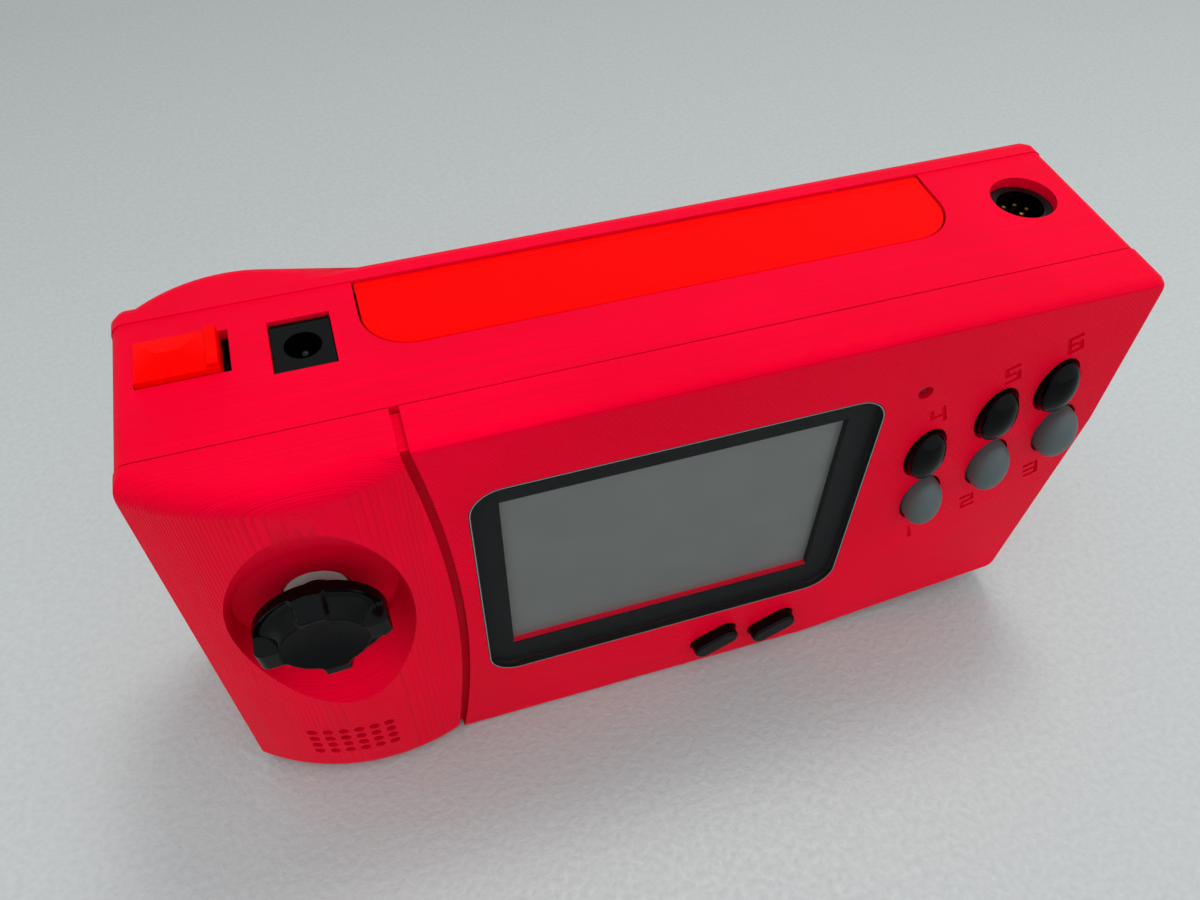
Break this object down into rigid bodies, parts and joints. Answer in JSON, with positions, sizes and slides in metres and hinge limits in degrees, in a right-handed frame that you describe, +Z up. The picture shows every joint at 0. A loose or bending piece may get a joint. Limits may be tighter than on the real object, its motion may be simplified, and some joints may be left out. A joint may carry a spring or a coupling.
{
  "type": "handheld game console",
  "caption": "Handheld game console in a three-layer printed red case with screen, direction pad, push buttons, power slide switch and a hinged cartridge flap on top.",
  "frame": {"origin": "middle of the width and of the overall depth, on the flat bottom edge that it stands on", "axes": "+X to the right along the width, +Y from the face to the back, +Z up along the height"},
  "size_m": [0.188, 0.0589, 0.1031],
  "materials": {
    "printed_case": "layer-printed red plastic, satin",
    "printed_trim": "layer-printed red plastic, satin",
    "clear_lens": "clear cut sheet",
    "black_ink": "matt black back print",
    "display_glass": "dark unlit display",
    "white_plastic": "satin",
    "circuit_board": "lacquered",
    "grey_rubber": "matt",
    "black_plastic": "satin",
    "gloss_black": "glossy",
    "grey_print": "smoothed print, matt",
    "red_lamp": "tinted clear",
    "bright_steel": "bright",
    "brass": "bright",
    "battery_wrap": "shrink wrap"
  },
  "bodies": {
    "case": {"front_shell": "printed_case", "middle_frame": "printed_case", "back_shell": "printed_case", "screen_lens": "clear_lens", "screen_mask": "black_ink", "lcd_panel": "display_glass", "lcd_backlight": "white_plastic", "lcd_board": "circuit_board", "main_board": "circuit_board", "action_board": "circuit_board", "menu_board": "circuit_board", "pad_board": "circuit_board", "action_membrane": "grey_rubber", "menu_membrane": "grey_rubber", "pad_membrane": "grey_rubber", "speaker": "black_plastic", "status_led": "red_lamp", "power_switch_body": "black_plastic", "dc_jack": "black_plastic", "dc_pin": "bright_steel", "av_socket": "black_plastic", "av_ring": "bright_steel", "av_pins": "brass", "cartridge_connector": "black_plastic", "flap_pin": "bright_steel", "battery_pack": "battery_wrap", "case_screws": "bright_steel", "screw_inserts": "brass", "board_screws": "bright_steel"},
    "power_knob": {"power_knob": "printed_trim", "power_lever": "black_plastic"},
    "flap": {"cartridge_flap": "printed_trim"},
    "pad_ring": {"pad_pivot": "white_plastic"},
    "pad": {"direction_pad": "gloss_black"},
    "lower_button_1": {"lower_button_1": "grey_print"},
    "lower_button_2": {"lower_button_2": "grey_print"},
    "lower_button_3": {"lower_button_3": "grey_print"},
    "upper_button_1": {"upper_button_1": "gloss_black"},
    "upper_button_2": {"upper_button_2": "gloss_black"},
    "upper_button_3": {"upper_button_3": "gloss_black"},
    "menu_button_left": {"menu_button_left": "gloss_black"},
    "menu_button_right": {"menu_button_right": "gloss_black"}
  },
  "joints": [
    {"name": "power_slide", "type": "slide", "parent": "case", "child": "power_knob", "axis": [1, 0, 0], "range_m": [0, 0.0014]},
    {"name": "flap_hinge", "type": "hinge", "parent": "case", "child": "flap", "pos_m": [0, 0.0174, 0.0994], "axis": [1, 0, 0], "range_deg": [0, 82], "stiffness_Nm_per_rad": 0.002, "springref_deg": -34.38},
    {"name": "pad_tilt_sideways", "type": "hinge", "parent": "case", "child": "pad_ring", "pos_m": [-0.0706, -0.01585, 0.0596], "axis": [0, 0, 1], "range_deg": [-6, 6], "stiffness_Nm_per_rad": 0.05},
    {"name": "pad_tilt_up_down", "type": "hinge", "parent": "pad_ring", "child": "pad", "pos_m": [-0.0706, -0.01585, 0.0596], "axis": [1, 0, 0], "range_deg": [-6, 6], "stiffness_Nm_per_rad": 0.05},
    {"name": "lower_button_1_press", "type": "slide", "parent": "case", "child": "lower_button_1", "axis": [0, 1, 0], "range_m": [0, 0.0013], "stiffness_N_per_m": 300, "springref_m": -0.0005},
    {"name": "lower_button_2_press", "type": "slide", "parent": "case", "child": "lower_button_2", "axis": [0, 1, 0], "range_m": [0, 0.0013], "stiffness_N_per_m": 300, "springref_m": -0.0005},
    {"name": "lower_button_3_press", "type": "slide", "parent": "case", "child": "lower_button_3", "axis": [0, 1, 0], "range_m": [0, 0.0013], "stiffness_N_per_m": 300, "springref_m": -0.0005},
    {"name": "upper_button_1_press", "type": "slide", "parent": "case", "child": "upper_button_1", "axis": [0, 1, 0], "range_m": [0, 0.0013], "stiffness_N_per_m": 300, "springref_m": -0.0005},
    {"name": "upper_button_2_press", "type": "slide", "parent": "case", "child": "upper_button_2", "axis": [0, 1, 0], "range_m": [0, 0.0013], "stiffness_N_per_m": 300, "springref_m": -0.0005},
    {"name": "upper_button_3_press", "type": "slide", "parent": "case", "child": "upper_button_3", "axis": [0, 1, 0], "range_m": [0, 0.0013], "stiffness_N_per_m": 300, "springref_m": -0.0005},
    {"name": "menu_button_left_press", "type": "slide", "parent": "case", "child": "menu_button_left", "axis": [0, 1, 0], "range_m": [0, 0.0013], "stiffness_N_per_m": 300, "springref_m": -0.0005},
    {"name": "menu_button_right_press", "type": "slide", "parent": "case", "child": "menu_button_right", "axis": [0, 1, 0], "range_m": [0, 0.0013], "stiffness_N_per_m": 300, "springref_m": -0.0005}
  ]
}
